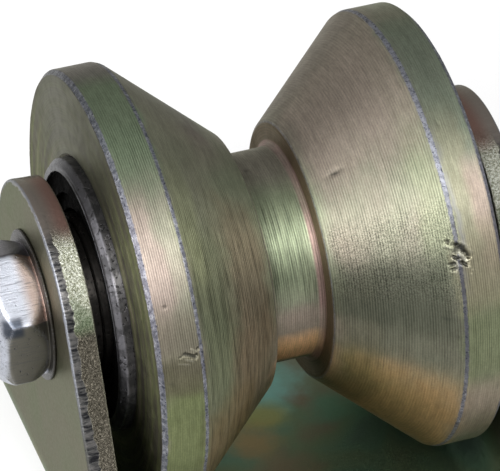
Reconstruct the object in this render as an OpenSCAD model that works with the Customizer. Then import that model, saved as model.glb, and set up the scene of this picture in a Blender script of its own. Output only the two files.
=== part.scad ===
// V groove wheel: a turned steel wheel on two deep groove ball bearings,
// held by one hex bolt between the flared cheeks of a bracket bent from plate.
// Millimetres. X is the axle, bolt head at -X. Z is up. The origin is the
// middle of the bracket's underside.

/* [Wheel] */
// Diameter of the two rims
wheel_d = 65; // [60:0.5:80]
// Diameter of the groove floor
floor_d = 31; // [29:0.5:33]
// Width of the groove floor
floor_w = 8.2; // [6:0.1:11]
// Height of the upright walls at the groove root
root_h = 3.5; // [2:0.1:5]
// Radius of the fillets at the groove root
root_fillet = 1.2; // [0.4:0.1:1.8]
// Slope of each cone, measured from a plane square to the axle
cone_angle = 48; // [42:0.5:52]
// Width of each cylindrical rim band
rim_w = 6.5; // [5:0.1:9]
// Chamfer between rim band and outer face
rim_chamfer = 1; // [0.4:0.1:1.6]
// Break on the edges of the cones
edge_break = 0.4; // [0.2:0.05:0.7]
// Depth of the relief that keeps the wheel off the inner rings
relief_depth = 1; // [0.5:0.1:1.5]

/* [Bearings] */
// Outside diameter of each bearing
bearing_d = 40; // [38:0.5:42]
// Bore of each bearing
bearing_bore = 17; // [16:0.5:18]
// Width of each bearing
bearing_w = 12; // [11.5:0.5:14]
// How far each bearing stands out of the wheel's face
bearing_proud = 2; // [1:0.1:3]
// Diameter of the balls
ball_d = 6.75; // [6:0.05:7]
// Balls in each bearing
ball_count = 8; // [6:1:8]
// Chamfer on the outside corners of the rings
ring_chamfer = 0.6; // [0.3:0.1:0.9]
// Radial height of the ring shoulders beside the raceways
shoulder_h = 1.35; // [1:0.05:1.5]
// Width of the recess that a shield is pressed into
recess_w = 1.6; // [1.4:0.05:1.7]
// Wall of the outer ring over that recess
recess_wall = 1.8; // [1.5:0.1:2]
// Sheet thickness of the shields
shield_t = 0.4; // [0.3:0.05:0.5]
// Sheet thickness of the cage halves
cage_t = 0.7; // [0.5:0.05:0.75]
// Shank diameter of the cage rivets
rivet_d = 1.2; // [0.8:0.1:1.4]

/* [Bracket] */
// Thickness of the plate
plate_t = 4.2; // [3.5:0.1:6]
// Inside radius of the two bends
bend_r = 6; // [4:0.5:9]
// Radius of the cheeks' round tops
cheek_r = 18.4; // [16:0.1:22]
// Lean of the cheeks' straight edges from upright
flare_angle = 23; // [18:0.5:28]
// Space between the wheel's faces and the cheeks
side_gap = 4.6; // [4:0.1:7]
// Space between the wheel's rims and the base
base_gap = 2.1; // [1.2:0.1:5]
// Diameter of the four fixing holes in the base
fixing_d = 9; // [5:0.5:10]
// Spacing of the fixing holes along the axle
fixing_x = 32; // [26:0.5:34]
// Spacing of the fixing holes across the axle
fixing_y = 51; // [46:0.5:53]

/* [Axle] */
// Nominal diameter of the bolt
bolt_d = 12; // [10:0.5:13]
// Width across flats of bolt head and nut
hex_af = 19; // [17:0.5:20]
// Height of the bolt head
head_h = 7.5; // [6:0.5:9]
// Diameter of the round face under the bolt head
head_face_d = 23; // [20:0.5:26]
// Length over which the bolt head's corners run out above that face
head_taper = 3.2; // [1:0.1:4]
// Turn of the bolt head about the axle
head_turn = 6; // [0:0.5:60]
// Turn of the nut about the axle
nut_turn = 22; // [0:1:60]
// Height of the nut
nut_h = 10; // [8:0.5:12]
// Thread that stands out of the nut
thread_out = 5.5; // [2:0.5:10]
// Outside diameter of the flat washer
washer_d = 24; // [22:0.5:28]
// Thickness of the flat washer
washer_t = 2.5; // [1.5:0.1:3.5]
// Thickness of the spring washer
spring_t = 2.5; // [1.5:0.1:3.5]
// Radial width of the spring washer's wire
spring_w = 4; // [3:0.1:5]
// Width of the slot in the spring washer
spring_slot = 1.6; // [1:0.1:3]

/* [Clearances] */
// Radial clearance of pieces that fit into or onto each other
fit_gap = 0.02; // [0.01:0.01:0.05]
// Clearance between balls and raceways
ball_gap = 0.08; // [0.05:0.01:0.12]
// Clearance between balls and cage pockets
pocket_gap = 0.15; // [0.1:0.01:0.2]
// Radial clearance of the axle bolt in its sleeve
sleeve_gap = 0.2; // [0.1:0.05:0.4]
// Radial clearance of the axle bolt in the cheeks and the flat washer
hole_gap = 0.5; // [0.2:0.05:0.8]
// Clearance between turning pieces that pass each other inside the wheel
turn_gap = 0.8; // [0.5:0.1:1]
// Gap between a shield's inner edge and the inner ring
shield_gap = 0.5; // [0.3:0.05:0.7]
// Gap between the cage and each ring shoulder
cage_gap = 0.4; // [0.3:0.05:0.5]

/* [Hidden] */

$fn = 96;
left = -1;
right = 1;
outward = 1;
inward = -1;

// Half sizes across the axle
wheel_r = wheel_d / 2;
floor_r = floor_d / 2;
cone_foot_r = floor_r + root_h;
floor_half = floor_w / 2;
cone_end = floor_half + (wheel_r - cone_foot_r) * tan(cone_angle);
face_x = cone_end + rim_w;

// Bearing sizes
ring_r = bearing_d / 2;
bore_r = bearing_bore / 2;
pitch_r = (ring_r + bore_r) / 2;
ball_r = ball_d / 2;
race_r = 0.52 * ball_d;
inner_race_r = pitch_r - ball_r - ball_gap;
outer_race_r = pitch_r + ball_r + ball_gap;
inner_shoulder_r = inner_race_r + shoulder_h;
outer_shoulder_r = outer_race_r - shoulder_h;
recess_r = ring_r - recess_wall;
bearing_end = face_x + bearing_proud;
bearing_mid = bearing_end - bearing_w / 2;
seat_x = bearing_end - bearing_w;
seat_chamfer = 0.4;
bore_chamfer = 0.4;
land_chamfer = 0.2;

// Shields: a crimped rim, an outer flat and a sunk inner flat
shield_sink = 0.5;
shield_step = 0.5;
shield_step_r = (inner_shoulder_r + recess_r) / 2;
shield_inner_r = inner_shoulder_r + shield_gap;

// Cages
cage_in_r = inner_shoulder_r + cage_gap;
cage_out_r = outer_shoulder_r - cage_gap;
cage_pocket_r = ball_r + pocket_gap;
ball_step = 360 / ball_count;
rivet_r = rivet_d / 2;
rivet_head_r = 1.7 * rivet_r;
rivet_head_h = 0.5;

// Pieces inside the wheel
spacer_r = inner_shoulder_r - 1;
wheel_bore_r = spacer_r + turn_gap;
relief_r = outer_shoulder_r + 0.8;

// Bracket
inner_half = face_x + side_gap;
outer_half = inner_half + plate_t;
bend_out_r = bend_r + plate_t;
axle_z = plate_t + base_gap + wheel_r;
base_half = (cheek_r + (axle_z - plate_t) * sin(flare_angle)) / cos(flare_angle);

// Axle bolt and its fittings, along X
bolt_r = bolt_d / 2;
hex_r = hex_af / 2 / cos(30);
face_r = 0.94 * hex_af / 2;
foot_r = 0.98 * hex_af / 2;
nut_foot = (hex_r - face_r) * tan(30);
washer_face = 0.5;
washer_x = outer_half;
spring_x = washer_x + washer_t;
nut_x = spring_x + spring_t;
bolt_end = nut_x + nut_h + thread_out;
point_chamfer = 1.2;
spring_slant = 20;
past = 1;

zinc = [0.62, 0.59, 0.42];
dark_zinc = [0.46, 0.48, 0.36];
bright_zinc = [0.72, 0.74, 0.76];
bearing_steel = [0.55, 0.55, 0.54];
ball_steel = [0.80, 0.81, 0.82];
sheet_steel = [0.45, 0.45, 0.43];

// Turns a shape built round Z so that it lies round the axle
module on_axle(x = 0) {
    translate([x, 0, axle_z]) rotate([0, 90, 0]) children();
}

// Revolves a section drawn as [radius, distance along the axle]
module turned(x = 0) {
    on_axle(x) rotate_extrude() children();
}

module ring(r_in, r_out, length, x) {
    on_axle(x) difference() {
        cylinder(r = r_out, h = length);
        translate([0, 0, -past]) cylinder(r = r_in, h = length + 2 * past);
    }
}

// ---- Bracket -------------------------------------------------------------

module channel_section(half, r, z) {
    translate([-half, z + r]) square([2 * half, axle_z + cheek_r]);
    translate([r - half, z]) square([2 * (half - r), r + past]);
    for (side = [left, right])
        translate([side * (half - r), z + r]) circle(r = r);
}

// The plate's run from cheek to cheek, seen along Y
module bent_strip() {
    rotate([90, 0, 0]) linear_extrude(height = 2 * base_half + 2 * past, center = true)
        difference() {
            channel_section(outer_half, bend_out_r, 0);
            channel_section(inner_half, bend_r, plate_t);
        }
}

// The cheeks' round top and leaning edges, seen along X
module cheek_outline() {
    touch_y = cheek_r * cos(flare_angle);
    touch_z = axle_z + cheek_r * sin(flare_angle);
    rotate([90, 0, 90]) linear_extrude(height = 2 * outer_half + 2 * past, center = true) {
        translate([0, axle_z]) circle(r = cheek_r, $fn = 180);
        polygon([[-base_half, 0], [base_half, 0], [base_half, plate_t], [touch_y, touch_z],
            [-touch_y, touch_z], [-base_half, plate_t]]);
    }
}

module bracket() {
    color(zinc) difference() {
        intersection() {
            bent_strip();
            cheek_outline();
        }
        on_axle(-outer_half - past)
            cylinder(r = bolt_r + hole_gap, h = 2 * outer_half + 2 * past);
        for (sx = [-1, 1], sy = [-1, 1])
            translate([sx * fixing_x / 2, sy * fixing_y / 2, -past])
                cylinder(d = fixing_d, h = plate_t + 2 * past);
    }
}

// ---- Wheel ---------------------------------------------------------------

// One side of the wheel's section, from the middle of the groove outwards
module half_wheel_section() {
    slope = edge_break * [cos(cone_angle), sin(cone_angle)];
    polygon([
        [wheel_bore_r, 0],
        [floor_r, 0],
        [floor_r, floor_half],
        [cone_foot_r - edge_break, floor_half],
        [cone_foot_r + slope[0], floor_half + slope[1]],
        [wheel_r - slope[0], cone_end - slope[1]],
        [wheel_r, cone_end + edge_break],
        [wheel_r, face_x - rim_chamfer],
        [wheel_r - rim_chamfer, face_x],
        [ring_r + seat_chamfer, face_x],
        [ring_r, face_x - seat_chamfer],
        [ring_r, seat_x],
        [relief_r, seat_x],
        [relief_r, seat_x - relief_depth],
        [wheel_bore_r, seat_x - relief_depth]]);
    difference() {
        translate([floor_r - past, floor_half - root_fillet])
            square([root_fillet + past, root_fillet]);
        translate([floor_r + root_fillet, floor_half - root_fillet])
            circle(r = root_fillet);
    }
}

module wheel_body() {
    color(zinc) turned() {
        half_wheel_section();
        mirror([0, 1]) half_wheel_section();
    }
}

// ---- Bearings ------------------------------------------------------------

module outer_ring(side) {
    r = ring_r - fit_gap;
    half = bearing_w / 2;
    color(bearing_steel) turned(side * bearing_mid) difference() {
        polygon([
            [outer_shoulder_r, -half], [r - ring_chamfer, -half], [r, ring_chamfer - half],
            [r, half - ring_chamfer], [r - ring_chamfer, half], [outer_shoulder_r, half]]);
        translate([outer_race_r - race_r, 0]) circle(r = race_r);
        for (end = [-1, 1])
            translate([outer_shoulder_r - past, end * half - recess_w])
                square([recess_r - outer_shoulder_r + past, 2 * recess_w]);
    }
}

module inner_ring(side) {
    r = bore_r + fit_gap;
    half = bearing_w / 2;
    color(bearing_steel) turned(side * bearing_mid) difference() {
        polygon([
            [r, bore_chamfer - half], [r + bore_chamfer, -half],
            [inner_shoulder_r - land_chamfer, -half], [inner_shoulder_r, land_chamfer - half],
            [inner_shoulder_r, half - land_chamfer], [inner_shoulder_r - land_chamfer, half],
            [r + bore_chamfer, half], [r, half - bore_chamfer]]);
        translate([inner_race_r + race_r, 0]) circle(r = race_r);
    }
}

// Places one copy at each ball, or between the balls with turn = ball_step / 2
module at_balls(side, turn = 0) {
    on_axle(side * bearing_mid)
        for (i = [0 : ball_count - 1])
            rotate([0, 0, i * ball_step + turn]) translate([pitch_r, 0, 0]) children();
}

module balls(side) {
    color(ball_steel) at_balls(side) sphere(r = ball_r);
}

// A pressed half: flat tabs against the middle plane and a cup over each ball
module cage_half(side, end) {
    color(sheet_steel) intersection() {
        on_axle(side * bearing_mid) rotate([0, end * side > 0 ? 0 : 180, 0])
            difference() {
                cylinder(r = cage_out_r, h = bearing_w);
                translate([0, 0, -past]) cylinder(r = cage_in_r, h = bearing_w + 2 * past);
            }
        difference() {
            union() {
                on_axle(side * bearing_mid) rotate([0, end * side > 0 ? 0 : 180, 0])
                    cylinder(r = cage_out_r + past, h = cage_t);
                at_balls(side) sphere(r = cage_pocket_r + cage_t);
            }
            at_balls(side) sphere(r = cage_pocket_r);
            at_balls(side, ball_step / 2)
                cylinder(r = rivet_r + fit_gap, h = bearing_w, center = true);
        }
    }
}

module cage_rivets(side) {
    color(sheet_steel) at_balls(side, ball_step / 2) {
        cylinder(r = rivet_r, h = 2 * cage_t + 2 * rivet_head_h, center = true);
        for (turn = [0, 180])
            rotate([turn, 0, 0]) translate([0, 0, cage_t])
                cylinder(r1 = rivet_head_r, r2 = rivet_r, h = rivet_head_h);
    }
}

// A pressed shield: crimped rim, outer flat, step and sunk inner flat
module shield(side, end) {
    rim_r = recess_r - fit_gap;
    out_x = bearing_w / 2 - shield_sink;
    sunk_x = out_x - shield_step;
    seat = bearing_w / 2 - recess_w;
    step_in = shield_step_r - shield_t / 2;
    step_out = shield_step_r + shield_t / 2;
    color(sheet_steel) on_axle(side * bearing_mid)
        rotate([0, end * side > 0 ? 0 : 180, 0]) rotate_extrude() polygon([
            [shield_inner_r, sunk_x - shield_t], [step_out, sunk_x - shield_t],
            [step_out, out_x - shield_t], [rim_r - shield_t, out_x - shield_t],
            [rim_r - shield_t, seat], [rim_r, seat],
            [rim_r, out_x - shield_t / 2], [rim_r - shield_t / 2, out_x],
            [step_in, out_x], [step_in, sunk_x], [shield_inner_r, sunk_x]]);
}

// ---- Pieces on the axle ---------------------------------------------------

module axle_sleeve() {
    color(bright_zinc)
        ring(bolt_r + sleeve_gap, bore_r, 2 * inner_half, -inner_half);
}

module bearing_spacer() {
    color(bright_zinc) ring(bore_r + fit_gap, spacer_r, 2 * seat_x, -seat_x);
}

module side_spacer(side) {
    start = side > 0 ? bearing_end : -inner_half;
    color(bright_zinc)
        ring(bore_r + fit_gap, spacer_r, inner_half - bearing_end, start);
}

// A hexagon with the corners turned off at 30 degrees on the end at +Z. At its
// foot they run out from the radius low_r over the height low_h.
module hex_blank(h, low_r, low_h) {
    drop = (hex_r - face_r) * tan(30);
    intersection() {
        cylinder(r = hex_r, h = h, $fn = 6);
        union() {
            translate([0, 0, h - drop]) cylinder(r1 = hex_r, r2 = face_r, h = drop);
            translate([0, 0, low_h]) cylinder(r = hex_r, h = h - drop - low_h);
            cylinder(r1 = low_r, r2 = hex_r, h = low_h);
        }
    }
}

module axle_bolt() {
    shank = bolt_end + outer_half;
    color(bright_zinc) {
        on_axle(-outer_half) {
            cylinder(r = bolt_r, h = shank - point_chamfer);
            translate([0, 0, shank - point_chamfer])
                cylinder(r1 = bolt_r, r2 = bolt_r - point_chamfer, h = point_chamfer);
            mirror([0, 0, 1]) {
                cylinder(d = head_face_d, h = washer_face);
                rotate([0, 0, head_turn]) translate([0, 0, washer_face])
                    hex_blank(head_h - washer_face, foot_r, head_taper);
            }
        }
    }
}

module flat_washer() {
    color(dark_zinc) ring(bolt_r + hole_gap, washer_d / 2, washer_t, washer_x);
}

// A spring washer drawn tight, with its slanting slot
module spring_washer() {
    r_in = bolt_r + sleeve_gap;
    color(dark_zinc) difference() {
        ring(r_in, r_in + spring_w, spring_t, spring_x);
        on_axle(spring_x + spring_t / 2) rotate([spring_slant, 0, 0])
            translate([bolt_r - past, -spring_slot / 2, -2 * spring_t])
                cube([spring_w + 4 * past, spring_slot, 4 * spring_t]);
    }
}

module axle_nut() {
    color(dark_zinc) difference() {
        on_axle(nut_x) rotate([0, 0, nut_turn]) hex_blank(nut_h, face_r, nut_foot);
        on_axle(nut_x - past) cylinder(r = bolt_r + fit_gap, h = nut_h + 2 * past);
    }
}

bracket();
wheel_body();
outer_ring(left);  // outer_ring_left
outer_ring(right);  // outer_ring_right
inner_ring(left);  // inner_ring_left
inner_ring(right);  // inner_ring_right
balls(left);  // balls_left
balls(right);  // balls_right
cage_half(left, outward);  // cage_left_outer_half
cage_half(left, inward);  // cage_left_inner_half
cage_rivets(left);  // cage_left_rivets
cage_half(right, outward);  // cage_right_outer_half
cage_half(right, inward);  // cage_right_inner_half
cage_rivets(right);  // cage_right_rivets
shield(left, outward);  // shield_left_outer
shield(left, inward);  // shield_left_inner
shield(right, outward);  // shield_right_outer
shield(right, inward);  // shield_right_inner
axle_sleeve();
bearing_spacer();
side_spacer(left);  // side_spacer_left
side_spacer(right);  // side_spacer_right
axle_bolt();
flat_washer();
spring_washer();
axle_nut();
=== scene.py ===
"""The looks of the V groove wheel: a turned and plated steel wheel on two ball
bearings, held by one hex bolt between the flared cheeks of a bent bracket.

Lengths are millimetres until a mesh is made, and angles are degrees. Angles
round the axle start at +Y and turn towards +Z.
"""

from math import acos, ceil, cos, degrees, pi, radians, sin, tan

import bmesh
import bpy
import numpy as np
from mathutils import Matrix, Vector

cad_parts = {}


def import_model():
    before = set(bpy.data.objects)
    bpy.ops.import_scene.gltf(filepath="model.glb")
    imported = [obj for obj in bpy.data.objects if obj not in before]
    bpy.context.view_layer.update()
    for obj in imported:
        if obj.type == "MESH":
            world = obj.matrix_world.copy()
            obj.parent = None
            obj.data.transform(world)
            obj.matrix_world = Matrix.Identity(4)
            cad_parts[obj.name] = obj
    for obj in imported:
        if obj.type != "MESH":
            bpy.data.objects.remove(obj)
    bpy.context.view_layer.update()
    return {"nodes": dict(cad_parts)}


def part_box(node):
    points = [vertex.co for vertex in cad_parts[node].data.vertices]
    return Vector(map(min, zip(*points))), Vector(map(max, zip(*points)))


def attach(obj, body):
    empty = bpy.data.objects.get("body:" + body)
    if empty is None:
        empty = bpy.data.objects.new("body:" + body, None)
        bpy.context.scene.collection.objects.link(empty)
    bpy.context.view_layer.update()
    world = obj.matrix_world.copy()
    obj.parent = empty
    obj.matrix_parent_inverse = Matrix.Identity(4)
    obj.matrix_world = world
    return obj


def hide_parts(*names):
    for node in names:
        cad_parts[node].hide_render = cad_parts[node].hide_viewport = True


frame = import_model()

MM = 0.001
wheel_low, wheel_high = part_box("wheel_body")
AXLE_Z = (wheel_low.z + wheel_high.z) / 2 / MM
LEFT, RIGHT = -1, 1

# Sizes of the wheel
WHEEL_R = wheel_high.z / MM - AXLE_Z
FACE_X = wheel_high.x / MM
FLOOR_R, FLOOR_HALF, FOOT_R, ROOT_FILLET = 15.5, 4.1, 19.0, 1.2
CONE_ANGLE, RIM_W, RIM_CHAMFER, EDGE_BREAK = 48.0, 6.5, 0.7, 0.4
RELIEF, RELIEF_R, BORE_R, SEAT_CHAMFER = 1, 17.155, 11.945, 0.4

# Sizes of a bearing
RING_R, BEARING_W, PROUD = 20.0, 12.0, 2.0
BALL_D, RACE_FIT, RACE_TOP, SHOULDER_R = 6.75, 0.52, 17.705, 16.355
RECESS_R, RECESS_W = 18.2, 1.6
SHIELD_T, SHIELD_SINK, SHIELD_STEP_R, SHIELD_BORE_R = 0.4, 0.5, 15.1725, 12.645

# Sizes of the bracket
PLATE_T, BEND_R, CHEEK_R, FLARE, SIDE_GAP = 4.2, 6.0, 18.4, 23.0, 4.6
FIXING, FIXING_R = (16.0, 25.5), 4.5
SHEAR_R, BURR_R, HOLE_ROUND = 0.4, 0.2, 0.45

# Sizes of the bolt, nut and washers
BOLT_R, HEX_AF, HEAD_H, NUT_H = 6.0, 19.0, 7.5, 10.0
HEAD_TURN, NUT_TURN, PITCH, POINT = 6.0, 22.0, 1.75, 1.2
FLANGE_R, FLANGE_T, HEAD_FOOT, HEAD_TAPER = 11.5, 0.5, 9.5, 2.5
HOLE_GAP, SPRING_GAP = 0.5, 0.2
WASHER_R, WASHER_T, SPRING_T, SPRING_W, SPRING_SLOT = 12.0, 2.5, 2.5, 4.0, 1.6

# Places that follow from the sizes
OUTER_HALF = FACE_X + SIDE_GAP + PLATE_T
BEND_OUT = BEND_R + PLATE_T
BEND_CENTRE = OUTER_HALF - BEND_OUT
LEAN = radians(FLARE)
BASE_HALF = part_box("bracket")[1].y / MM
BEARING_END = FACE_X + PROUD
SEAT_X = BEARING_END - BEARING_W
CONE_END = FACE_X - RIM_W
HEX_R = HEX_AF / 2 / cos(radians(30))
# The radius left on a hexagon's end, and how fast it grows away from there
HEAD_END = 8.5, 1.4
NUT_END = 8.93, 1 / tan(radians(30))


def unit(v):
    return v / np.linalg.norm(v)


def unit_rows(points):
    return points / np.linalg.norm(points, axis=1, keepdims=True)


def wave(a, b, seed):
    """A smooth made-up ripple from -1 to 1 over two arrays, the same each run."""
    out = 0.0
    for i in range(1, 5):
        k = seed * 1.7 + i * 2.39
        way = a * (1.3 * i) * cos(k) + b * (1.3 * i) * sin(k)
        out = out + np.sin(way + 5 * k) / i
    return out / 2.1


# ---- Meshes ----


def place(name, data):
    """Puts a new object into the scene."""
    made = bpy.data.objects.new(name, data)
    bpy.context.scene.collection.objects.link(made)
    return made


class Shape:
    """Grids of points that together make one mesh, with marks for the materials."""

    def __init__(self):
        self.points, self.faces, self.marks, self.count = [], [], {}, 0

    def sheet(self, points, around=True, along=False, **marks):
        """Adds rows x columns x 3 points as quads.

        around joins the last column to the first, along the last row to the first.
        """
        points = np.asarray(points, float)
        rows, columns = points.shape[:2]
        index = self.count + np.arange(rows * columns).reshape(rows, columns)
        if along:
            index = np.concatenate([index, index[:1]])
        if around:
            index = np.concatenate([index, index[:, :1]], 1)
        quads = np.stack([index[:-1, :-1], index[:-1, 1:],
                          index[1:, 1:], index[1:, :-1]], -1)
        self.faces.append(quads.reshape(-1, 4))
        self.points.append(points.reshape(-1, 3))
        for name in sorted(set(marks) | set(self.marks)):
            value = np.asarray(marks.get(name, 0.0), float)
            before = self.marks.setdefault(name, [np.zeros(self.count)])
            before.append(np.broadcast_to(value, (rows, columns)).ravel())
        self.count += rows * columns

    def build(self, name, body, slot, *nodes):
        mesh = bpy.data.meshes.new(name)
        points = np.concatenate(self.points) * MM
        mesh.from_pydata(points.tolist(), [], np.concatenate(self.faces).tolist())
        for mark, values in self.marks.items():
            layer = mesh.attributes.new(mark, "FLOAT", "POINT")
            layer.data.foreach_set("value", np.concatenate(values).astype(np.float32))
        bm = bmesh.new()
        bm.from_mesh(mesh)
        bmesh.ops.remove_doubles(bm, verts=bm.verts, dist=2e-6)
        bmesh.ops.recalc_face_normals(bm, faces=bm.faces)
        bm.to_mesh(mesh)
        bm.free()
        mesh.shade_smooth()
        mesh.materials.append(FINISHES[slot])
        piece = place(name, mesh)
        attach(piece, body)
        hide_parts(*nodes)


def round_axle(x, r, angle):
    """Points round the axle from distances along it, radii and angles."""
    a = np.radians(angle)
    x, r, a = np.broadcast_arrays(x, r, a)
    return np.stack([x, r * np.cos(a), AXLE_Z + r * np.sin(a)], -1)


def rounded(corners):
    """A closed profile with its corners rounded.

    corners are (x, r, radius, mark, step): the rounding there, the mark that it
    carries, and the longest step to the next corner. Mark and step may be left out.
    Returns the points, their marks and the distance run along the profile.
    """
    corners = [(*c, *(0.0, 2.0)[len(c) - 3:]) for c in corners]
    xy = np.array([c[:2] for c in corners], float)
    n = len(xy)
    spans = []
    for i, (_, _, radius, mark, _) in enumerate(corners):
        before, here, after = xy[i - 1], xy[i], xy[(i + 1) % n]
        if radius <= 0:
            spans.append((here[None], [mark]))
            continue
        u, v = unit(before - here), unit(after - here)
        half = acos(max(-1, min(1, float(u @ v)))) / 2
        cut = min(radius / tan(half), 0.45 * np.linalg.norm(before - here),
                  0.45 * np.linalg.norm(after - here))
        radius = cut * tan(half)
        centre = here + unit(u + v) * radius / sin(half)
        start, end = here + u * cut - centre, here + v * cut - centre
        turn = pi - 2 * half
        steps = max(3, ceil(turn / 0.26))
        sign = 1 if start[0] * end[1] - start[1] * end[0] > 0 else -1
        t = sign * np.linspace(0, turn, steps + 1)
        arc = centre + np.stack([start[0] * np.cos(t) - start[1] * np.sin(t),
                                 start[0] * np.sin(t) + start[1] * np.cos(t)], 1)
        ease = cut + min(0.4 * cut, 0.1)
        arc = np.concatenate([[here + u * ease], arc, [here + v * ease]])
        spans.append((arc, [0.0] + [mark] * (steps + 1) + [0.0]))
    pieces, marks = [], []
    for i, (arc, arc_marks) in enumerate(spans):
        a, b = arc[-1], spans[(i + 1) % n][0][0]
        count = max(1, ceil(np.linalg.norm(b - a) / corners[i][4]))
        t = np.linspace(0, 1, count + 1)[1:-1, None]
        pieces += [arc, a + (b - a) * t]
        marks += arc_marks + [0.0] * len(t)
    points = np.concatenate(pieces)
    lengths = np.linalg.norm(np.diff(points, axis=0), axis=1)
    return points, np.array(marks), np.concatenate([[0], np.cumsum(lengths)])


def lathe(name, body, slot, node, corners, side=RIGHT, turns=144):
    """A turned piece: the closed profile taken round the axle."""
    points, marks, _ = rounded(corners)
    angle = np.linspace(0, 360, turns, endpoint=False)
    shape = Shape()
    shape.sheet(round_axle(side * points[:, :1], points[:, 1:], angle[None]),
                along=True, edge=marks[:, None])
    shape.build(name, body, slot, node)


# ---- Materials ----

# The materials by the name of their slot
FINISHES = {}


def grey(level):
    return level, level, level


class Nodes:
    """A node tree that is filled by short calls."""

    def __init__(self, owner):
        owner.use_nodes = True
        self.tree = owner.node_tree
        self.tree.nodes.clear()

    def node(self, kind, inputs=None, **settings):
        made = self.tree.nodes.new(kind)
        for key, value in settings.items():
            setattr(made, key, value)
        for key, value in (inputs or {}).items():
            socket = made.inputs[key]
            if isinstance(value, bpy.types.NodeSocket):
                self.tree.links.new(value, socket)
            elif socket.type == "RGBA":
                socket.default_value = (*value, 1.0)
            else:
                socket.default_value = value
        return made

    def math(self, operation, a, b=0.0):
        return self.node("ShaderNodeMath", {0: a, 1: b}, operation=operation).outputs[0]

    def fold(self, operation, values):
        total = values[0]
        for value in values[1:]:
            total = self.math(operation, total, value)
        return total

    def times(self, *values):
        return self.fold("MULTIPLY", values)

    def add(self, *values):
        return self.fold("ADD", values)

    def most(self, *values):
        return self.fold("MAXIMUM", values)

    def minus(self, a, b):
        return self.math("SUBTRACT", a, b)

    def hypot(self, a, b):
        return self.math("SQRT", self.add(self.times(a, a), self.times(b, b)))

    def vector(self, operation, a, b=(0.0, 0.0, 0.0)):
        made = self.node("ShaderNodeVectorMath", {0: a, 1: b}, operation=operation)
        scalar = operation in ("DISTANCE", "DOT_PRODUCT")
        return made.outputs["Value" if scalar else "Vector"]

    def split(self, vector):
        return list(self.node("ShaderNodeSeparateXYZ", {"Vector": vector}).outputs)

    def joined(self, x, y, z):
        return self.node("ShaderNodeCombineXYZ", {"X": x, "Y": y, "Z": z}).outputs[0]

    def mark(self, name):
        return self.node("ShaderNodeAttribute", attribute_name=name).outputs["Fac"]

    def noise(self, at, scale, detail=2.0, rough=0.5, twist=0.0):
        """Noise over a vector, or over a single value."""
        line = at.type == "VALUE"
        return self.node("ShaderNodeTexNoise", {
            "W" if line else "Vector": at, "Scale": scale, "Detail": detail,
            "Roughness": rough, "Distortion": twist},
            noise_dimensions="1D" if line else "3D").outputs["Fac"]

    def band(self, value, low, high, to_low=0.0, to_high=1.0):
        """value taken from low..high to to_low..to_high, eased at both ends."""
        return self.node("ShaderNodeMapRange", {
            "Value": value, "From Min": low, "From Max": high, "To Min": to_low,
            "To Max": to_high}, interpolation_type="SMOOTHSTEP").outputs[0]

    def mix(self, share, a, b, blend="MIX"):
        return self.node("ShaderNodeMix", {0: share, 6: a, 7: b}, data_type="RGBA",
                         blend_type=blend).outputs[2]

    def ramp(self, value, *stops):
        made = self.node("ShaderNodeValToRGB", {"Fac": value})
        elements = made.color_ramp.elements
        while len(elements) < len(stops):
            elements.new(0.5)
        for element, (at, colour) in zip(elements, stops):
            element.position = at
            element.color = (*colour, 1.0)
        return made.outputs["Color"]


class Finish(Nodes):
    """A metal material, put together from procedural nodes."""

    def __init__(self, name):
        FINISHES[name] = bpy.data.materials.new(name)
        super().__init__(FINISHES[name])
        metres = self.node("ShaderNodeTexCoord").outputs["Object"]
        self.place = self.vector("MULTIPLY", metres, (1 / MM,) * 3)
        self.axle = self.vector("SUBTRACT", self.place, (0.0, 0.0, AXLE_Z))
        self.x, self.y, self.z = self.split(self.axle)
        self.r = self.hypot(self.y, self.z)
        self.side_x = self.math("ABSOLUTE", self.x)
        square = self.vector("MULTIPLY", self.axle, (0.0, 1.0, 1.0))
        self.around = self.vector("NORMALIZE", square)
        self.drift = self.minus(self.noise(self.axle, 0.16, 3.0, 0.6), 0.5)
        self.colour = None

    def lay(self, tint, *shares):
        """Lays a tint over the colour so far, by the product of the shares."""
        self.colour = self.mix(self.times(*shares), self.colour, tint)

    def zone(self, low, high, angle, spread, blur=0.9, ease=0.55, wander=4.0):
        """1 between two places along the axle and within spread of an angle."""
        a = radians(angle)
        facing = self.vector("DOT_PRODUCT", self.around, (0.0, cos(a), sin(a)))
        swing = sin(radians(min(90, spread))) * radians(spread) * 0.25 * wander
        facing = self.add(facing, self.times(self.drift, swing))
        x = self.add(self.x, self.times(self.drift, wander))
        wide = cos(radians(min(180, spread * (1 + ease))))
        tight = cos(radians(spread * (1 - ease)))
        return self.times(self.band(facing, wide, tight),
                          self.band(x, low - blur, low + blur),
                          self.band(x, high + blur, high - blur))

    def corner(self, x, r):
        """The distance from a corner that runs round both ends of the wheel."""
        return self.hypot(self.minus(self.side_x, x), self.minus(self.r, r))

    def drawn(self, run, fine, along, rough):
        """Noise over the distance run, drawn out along the turning marks."""
        return self.noise(self.joined(self.times(run, fine), self.times(self.y, along),
                                      self.times(self.z, along)), 1.0, 3.0, rough)

    def height(self, *layers):
        """Layers of (0..1 socket, depth in mm) summed as a height in metres."""
        return self.add(*(self.times(value, depth * MM) for value, depth in layers))

    def finish(self, rough, height, glance=grey(1.0), turned=0.0):
        """Ends the material. glance tints what is seen at a glancing angle."""
        bump = self.node("ShaderNodeBump", {"Height": height, "Strength": 1.0,
                                            "Distance": 1.0})
        inputs = {"Base Color": self.colour, "Roughness": rough, "Metallic": 1.0,
                  "Specular Tint": glance, "Normal": bump.outputs["Normal"]}
        if turned:
            tangent = self.node("ShaderNodeTangent", direction_type="RADIAL", axis="X")
            inputs.update({"Anisotropic": turned, "Anisotropic Rotation": 0.25,
                           "Tangent": tangent.outputs["Tangent"]})
        shader = self.node("ShaderNodeBsdfPrincipled", inputs)
        self.node("ShaderNodeOutputMaterial", {"Surface": shader.outputs[0]})


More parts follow.
